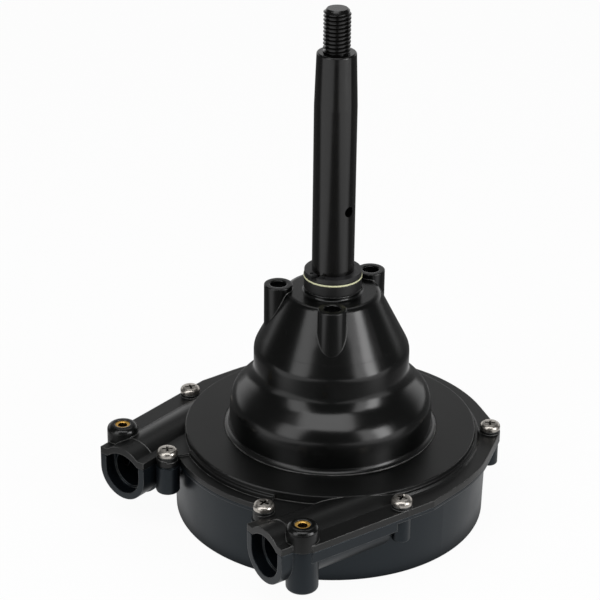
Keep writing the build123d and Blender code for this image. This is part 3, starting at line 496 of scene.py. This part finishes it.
def threaded_shaft():
    """The CAD shaft up to its shoulder, with a cut thread in place of the plain end."""
    mesh, bm = cut_copy("wheel_shaft")
    above = [f for f in bm.faces if f.calc_center_median().z > THREAD_FROM * MM + 1e-5]
    bmesh.ops.delete(bm, geom=above, context="FACES")
    root_r = THREAD_R - THREAD_DEPTH
    end_r = THREAD_R - THREAD_CHAMFER

    def top_limit(z):
        return THREAD_R - max(0.0, z - (THREAD_TO - THREAD_CHAMFER))

    add_faces(bm, *joined(
        helix(root_r, THREAD_R, THREAD_PITCH, THREAD_FROM, THREAD_TO, 64, limit=top_limit),
        lathe([(THREAD_R + 0.02, THREAD_FROM), (root_r - 0.4, THREAD_FROM)], close=False),
        lathe([(end_r, THREAD_TO), (2.0, THREAD_TO), (AXIS_R, THREAD_TO)], close=False),
    ))
    return finish_cut("steering_shaft", mesh, bm)


place(threaded_shaft(), "shaft_black", "wheel_shaft", body="shaft")


# ---- cover with the soft roundings of the cone ----

def boss_places():
    """Middles of the three bosses on the cone."""
    return [(BOSS_PCR * cos(radians(a)), BOSS_PCR * sin(radians(a))) for a in BOSS_ANGLES]


def rounded_cover():
    """The CAD cover with fuller roundings at the cone's foot, shoulder, waist and band."""
    low, high = BULGE_FOOT[1] + SEAM_UP, CONE_SEAM
    mesh, bm = cut_copy("front_cover", low, high)

    def on_outside(face):
        middle = face.calc_center_median() / MM
        if not low < middle.z < high:
            return False
        return wall_middle(middle.z) < middle.xy.length < BULGE_FOOT[0] + 4

    bmesh.ops.delete(bm, geom=[f for f in bm.faces if on_outside(f)], context="FACES")
    slope = (CONE_FOOT[0] - CONE_HEAD[0]) / (CONE_HEAD[1] - CONE_FOOT[1])
    seam_r = CONE_HEAD[0] + slope * (CONE_HEAD[1] - high)
    outline = filleted([
        (BULGE_FOOT[0] + 6.0, BULGE_FOOT[1]), (*BULGE_FOOT, FOOT_FILLET),
        (*SHOULDER, SHOULDER_FILLET), (*SOFT_WAIST, WAIST_FILLET), (*CONE_FOOT, CONE_FILLET),
        (seam_r + SEAM_OUT, high),
    ])[1:]
    add_faces(bm, *lathe(outline[::-1], segments=160, close=False), sharp_angle=60)
    for at in boss_places():
        centre = Vector(at) * MM
        for vert in bm.verts:
            off = vert.co.xy - centre
            if abs(vert.co.z - BOSS_TOP * MM) < 1e-5 and off.length < (BOSS_HOLE_R + 0.1) * MM:
                vert.co.xy = centre + off.normalized() * BOSS_MOUTH_R * MM
    return finish_cut("cover_shell", mesh, bm)


place(rounded_cover(), "cover_plastic", "front_cover")


# ---- pale washer with a dark ring of painted shade on it, and a dark ring of painted shade in the circlip's gap ----

def ring(r_in, r_out, low, top):
    return lathe([(r_in, low), (r_out, low), (r_out, top), (r_in, top)], segments=96)


place(new_object("pale_ring", *ring(*WASHER_R, *PALE_Z)), "pale_washer", "thrust_washer")
# Dark ring on the washer: painted shade of the gap under the circlip
place(new_object("painted_shade_ring", *ring(WASHER_R[0], WASHER_R[1] - 0.2, *SHADE_RING_Z)), "spring_steel")

# Dark ring in the circlip's gap: painted shade
place(new_object("circlip_gap_shade", *ring(*GAP_SHADE_R, *GAP_SHADE_Z)), "spring_steel", body="shaft")


# ---- fuller screw columns beside the ports ----

def port_columns():
    """Both columns, which stop a little short of the flange."""
    side = filleted([(AXIS_R, COLUMN_LOW), (COLUMN_R, COLUMN_LOW, COLUMN_EDGE),
                     (COLUMN_R, COLUMN_TOP)])
    profile = side + [(AXIS_R, COLUMN_TOP)]
    return joined(*[lathe(profile, at=(x, y), segments=48) for x, y, _ in SCREWS[2::3]])


place(new_object("port_columns", *port_columns()), "drum_plastic")


# ---- pan-head screws with cross recesses ----

def cross_cutter(turn):
    """Tapered four-armed bit that cuts the recess of a screw head."""
    arm, half = RECESS_ARM, RECESS_HALF_W
    outline = [(arm, -half), (arm, half), (half, half), (half, arm), (-half, arm), (-half, half),
               (-arm, half), (-arm, -half), (-half, -half), (-half, -arm), (half, -arm),
               (half, -half)]
    verts, faces, a = [], [], radians(turn)
    top = SCREW_SEAT + SCREW_HEAD_H
    levels = ((top - RECESS_DEPTH, RECESS_BOTTOM_SCALE), (top + RECESS_OVER, RECESS_TOP_SCALE))
    for z, scale in levels:
        for x, y in outline:
            x, y = x * scale, y * scale
            verts.append((x * cos(a) - y * sin(a), x * sin(a) + y * cos(a), z))
    n = len(outline)
    faces.append(tuple(range(n))[::-1])
    faces.append(tuple(range(n, 2 * n)))
    faces += [(i, (i + 1) % n, n + (i + 1) % n, n + i) for i in range(n)]
    return verts, faces


def screw_head(turn):
    """Head of one screw on the axis: domed, with a cross recess."""
    head = [(AXIS_R, SCREW_SEAT), (SCREW_HEAD_R - SCREW_HEAD_FOOT, SCREW_SEAT),
            (SCREW_HEAD_R, SCREW_SEAT + SCREW_HEAD_FOOT)]
    top = SCREW_SEAT + SCREW_HEAD_H - SCREW_CROWN
    side = rounded(AXIS_R, SCREW_HEAD_R, SCREW_SEAT + 1.0, top, SCREW_HEAD_ROUND)
    crown = [(r, z + SCREW_CROWN * (1 - (r / SCREW_HEAD_R) ** 2)) for r, z in side]
    body = new_object("screw_head", *lathe(head + crown, segments=48))
    cutter = new_object("screw_cutter", *cross_cutter(turn))
    cut = body.modifiers.new("recess", "BOOLEAN")
    cut.operation = "DIFFERENCE"
    cut.solver = "EXACT"
    cut.object = cutter
    graph = bpy.context.evaluated_depsgraph_get()
    mesh = bpy.data.meshes.new_from_object(body.evaluated_get(graph))
    bpy.data.objects.remove(body)
    bpy.data.objects.remove(cutter)
    return mesh


def screw_set():
    """All six screws as one mesh: heads with recesses turned their own ways, pointed shanks."""
    bm = bmesh.new()
    for x, y, turn in SCREWS:
        part = screw_head(turn)
        part.transform(Matrix.Translation((x * MM, y * MM, 0)))
        bm.from_mesh(part)
        low = SCREW_SEAT - SCREW_L
        shank = [(AXIS_R, low), (SCREW_TIP_R, low + SCREW_TIP_H), (SCREW_R, low + SCREW_POINT_H),
                 (SCREW_R, SCREW_SEAT + 0.2), (AXIS_R, SCREW_SEAT + 0.2)]
        bm.from_mesh(new_mesh("shank", *lathe(shank, (x, y), segments=32)))
    mesh = bpy.data.meshes.new("pan_screws")
    bm.to_mesh(mesh)
    bm.free()
    return finish_mesh("pan_screws", mesh)


place(screw_set(), "stainless", "cover_screws")


# ---- brass inserts and tapped holes ----

def insert_set():
    """Two brass inserts with a turned mouth and grooved outside, and their tapped bores."""
    groove_r = INSERT_R - RIB_OUT
    bore_r = INSERT_HOLE_R + INSERT_THREAD_DEPTH
    bore_top = INSERT_TOP - INSERT_MOUTH
    parts, bores = [], []
    for at in INSERTS:
        outside = [(groove_r, INSERT_LOW)]
        for i in range(INSERT_RIBS):
            z = INSERT_LOW + RIB_FROM + RIB_PITCH * i
            outside += [(INSERT_R, z), (INSERT_R, z + RIB_H),
                        (groove_r, z + RIB_H + 0.2), (groove_r, z + RIB_H + 0.5)]
        outside += [(INSERT_R, INSERT_TOP - 0.5), (INSERT_R, INSERT_TOP - 0.15),
                    (INSERT_R - 0.15, INSERT_TOP)]
        mouth = [(INSERT_HOLE_R + INSERT_MOUTH, INSERT_TOP), (INSERT_HOLE_R, bore_top)]
        foot = [(bore_r + 0.02, INSERT_LOW), (groove_r, INSERT_LOW)]
        parts.append(lathe(outside + mouth, at, 64, close=False))
        parts.append(lathe(foot, at, 64, close=False))
        bores.append(helix(bore_r, INSERT_HOLE_R, INSERT_PITCH, INSERT_LOW, bore_top, 32, at,
                           inside=True))
    return new_object("brass_inserts", *joined(*parts)), new_object("insert_bores", *joined(*bores))


def boss_threads():
    """Thread turns just inside the tapped holes of the cone's three bosses."""
    top = BOSS_TOP - BOSS_THREAD_DOWN
    turns = [helix(BOSS_HOLE_R - 0.01, BOSS_HOLE_R - BOSS_THREAD_DEPTH, BOSS_PITCH,
                   BOSS_THREAD_FROM, top, 32, at, inside=True) for at in boss_places()]
    return new_object("boss_threads", *joined(*turns))


rings, bores = insert_set()
place(rings, "brass", "cable_inserts")
place(bores, "brass")
# The bores' thread is near black: painted shade inside the bores
bores.data.materials[0] = metal(
    "brass_thread_painted_shade", (0.012, 0.008, 0.004), (0.03, 0.018, 0.008), (0.5, 0.65), pitting=0.3)
threads = place(boss_threads(), "cover_plastic")
# The boss threads are darker than the cover: painted shade inside the holes
threads.data.materials[0] = moulded_plastic(
    "bore_plastic_painted_shade", (0.0008, 0.0008, 0.0008), (0.0014, 0.0014, 0.0014), (0.60, 0.70), ior=1.3)


# ---- floor, world, lamps, camera, in metres ----

FLOOR_HALF, FLOOR_Z = 4.0, -0.0003
FLOOR_GLOW = 0.95
SOFT_LIGHT = 0.35
DARKEST = 0.08
# Where the floor's level in gloss changes: round the object, under it, beside it, before it. In
# reflections these are painted pools of light round, beside and before the object, and a painted
# shadow under it
NEAR, NEAR_LEVEL = (0.145, 0.185), 0.62
UNDER, UNDER_LEVEL = (0.072, 0.080), 0.45
BESIDE, BEFORE = (0.12, 0.22), (0.0, 0.12)
# The same for the surroundings: share of the direction towards the camera, and upwards
BEHIND, LOW_DOWN, OVERHEAD_LEVEL = (-0.75, -0.25), (0.12, 0.61), 0.1
AIM = Vector((0, 0, 0.10))


def seen_by_rays(tree):
    """1 for rays from the camera, of gloss or through glass, else 0."""
    path = tree.nodes.new("ShaderNodeLightPath")
    total = path.outputs["Is Camera Ray"]
    for name in ("Is Glossy Ray", "Is Transmission Ray"):
        total = combine(tree, "MAXIMUM", total, path.outputs[name])
    return total


def gloss_level(tree, level):
    """Strength 1 for the camera and glass; in gloss, DARKEST to 1 as the level goes from 0 to 1."""
    path = tree.nodes.new("ShaderNodeLightPath")
    missing = combine(tree, "SUBTRACT", 1.0, smooth(tree, level, 0.0, 1.0, DARKEST, 1.0))
    missing = combine(tree, "MULTIPLY", missing, path.outputs["Is Glossy Ray"])
    return combine(tree, "SUBTRACT", 1.0, missing)


def mix_into(tree, out, share, first, second):
    """Mix two shaders by a share of the second, into an output node."""
    mix = tree.nodes.new("ShaderNodeMixShader")
    link(tree, share, mix.inputs[0])
    link(tree, first.outputs[0], mix.inputs[1])
    link(tree, second.outputs[0], mix.inputs[2])
    link(tree, mix.outputs[0], out.inputs["Surface"])


def floor():
    """Wide white floor that keeps a faint shadow of the object; in reflections it shows painted
    pools of light and a painted shadow under the object.
    """
    half = FLOOR_HALF
    mesh = bpy.data.meshes.new("floor")
    mesh.from_pydata([(-half, -half, FLOOR_Z), (half, -half, FLOOR_Z), (half, half, FLOOR_Z),
                      (-half, half, FLOOR_Z)], [], [(0, 1, 2, 3)])
    obj = linked("floor", mesh)
    mat = bpy.data.materials.new("floor_white")
    mat.use_nodes = True
    tree = mat.node_tree
    tree.nodes.clear()
    out = tree.nodes.new("ShaderNodeOutputMaterial")
    coords = tree.nodes.new("ShaderNodeTexCoord").outputs["Object"]
    reach = node(tree, "ShaderNodeVectorMath", operation="LENGTH")
    link(tree, coords, reach.inputs[0])
    # Painted light and shadow for reflections: a brighter ring round the object, dimmer right under
    # it
    near = smooth(tree, reach.outputs["Value"], *NEAR, NEAR_LEVEL, 0.0)
    under = smooth(tree, reach.outputs["Value"], *UNDER, UNDER_LEVEL, 1.0)
    near = combine(tree, "MULTIPLY", near, under)
    # Painted pools of light for reflections, beside the object and before it
    across = combine(tree, "ABSOLUTE", along(tree, coords, TO_RIGHT))
    beside = smooth(tree, across, *BESIDE, 0.0, 1.0)
    before = smooth(tree, along(tree, coords, TO_CAMERA), *BEFORE, 0.0, 1.0)
    level = combine(tree, "MAXIMUM", near, combine(tree, "MULTIPLY", beside, before))
    glow = node(tree, "ShaderNodeEmission", Color=(1, 1, 1, 1))
    link(tree, gloss_level(tree, level), glow.inputs["Strength"])
    matte = node(tree, "ShaderNodeBsdfDiffuse", Color=(0.9, 0.9, 0.9, 1))
    share = combine(tree, "MULTIPLY", seen_by_rays(tree), FLOOR_GLOW)
    mix_into(tree, out, share, matte, glow)
    obj.data.materials.append(mat)


def world():
    """White surroundings low down, dimmer overhead, and even soft light on the object."""
    made = bpy.data.worlds.new("studio")
    bpy.context.scene.world = made
    made.use_nodes = True
    tree = made.node_tree
    tree.nodes.clear()
    out = tree.nodes.new("ShaderNodeOutputWorld")
    soft = node(tree, "ShaderNodeBackground", Color=(1, 1, 1, 1), Strength=SOFT_LIGHT)
    white = node(tree, "ShaderNodeBackground", Color=(1, 1, 1, 1))
    coords = tree.nodes.new("ShaderNodeTexCoord").outputs["Generated"]
    behind = smooth(tree, along(tree, coords, TO_CAMERA), *BEHIND, 1.0, 0.0)
    low_down = smooth(tree, along(tree, coords, (0, 0, 1)), *LOW_DOWN, 1.0, OVERHEAD_LEVEL)
    level = combine(tree, "MULTIPLY", behind, low_down)
    link(tree, gloss_level(tree, level), white.inputs["Strength"])
    mix_into(tree, out, seen_by_rays(tree), soft, white)


def softbox(name, turn, elevation, distance, size, level):
    """Area lamp at an angle round from the camera's side; level is its own brightness."""
    side = TO_CAMERA * cos(radians(turn)) + TO_RIGHT * sin(radians(turn))
    at = AIM + side * (distance * cos(radians(elevation)))
    at.z += distance * sin(radians(elevation))
    lamp = bpy.data.lights.new(name, "AREA")
    lamp.shape = "RECTANGLE"
    lamp.size, lamp.size_y = size
    lamp.energy = level * pi * size[0] * size[1]
    obj = linked(name, lamp)
    obj.location = at
    obj.rotation_euler = (AIM - at).to_track_quat("-Z", "Y").to_euler()


def camera():
    data = bpy.data.cameras.new("photo_camera")
    data.lens = CAM_LENS
    data.sensor_width = SENSOR
    data.sensor_fit = "HORIZONTAL"
    data.clip_start, data.clip_end = CAM_CLIP
    obj = linked("photo_camera", data)
    axes = Matrix((CAM_RIGHT, CAM_UP, -CAM_FORWARD)).transposed()
    obj.matrix_world = Matrix.Translation(CAM_AT) @ axes.to_4x4()
    bpy.context.scene.camera = obj


floor()
world()
# Each lamp: degrees round from the camera's side, elevation, distance, size, level
softbox("left_box", -47, 22, 0.95, (0.44, 0.80), 2.0)
softbox("right_box", 58, 13, 0.95, (0.28, 0.58), 6.0)
softbox("right_inner_box", 40, 18, 0.95, (0.22, 0.70), 2.2)
softbox("front_box", -8, 60, 1.1, (1.05, 0.50), 2.5)
softbox("back_box", 180, 60, 1.2, (0.8, 0.5), 0.8)
camera()
bpy.context.scene.view_settings.view_transform = "Standard"
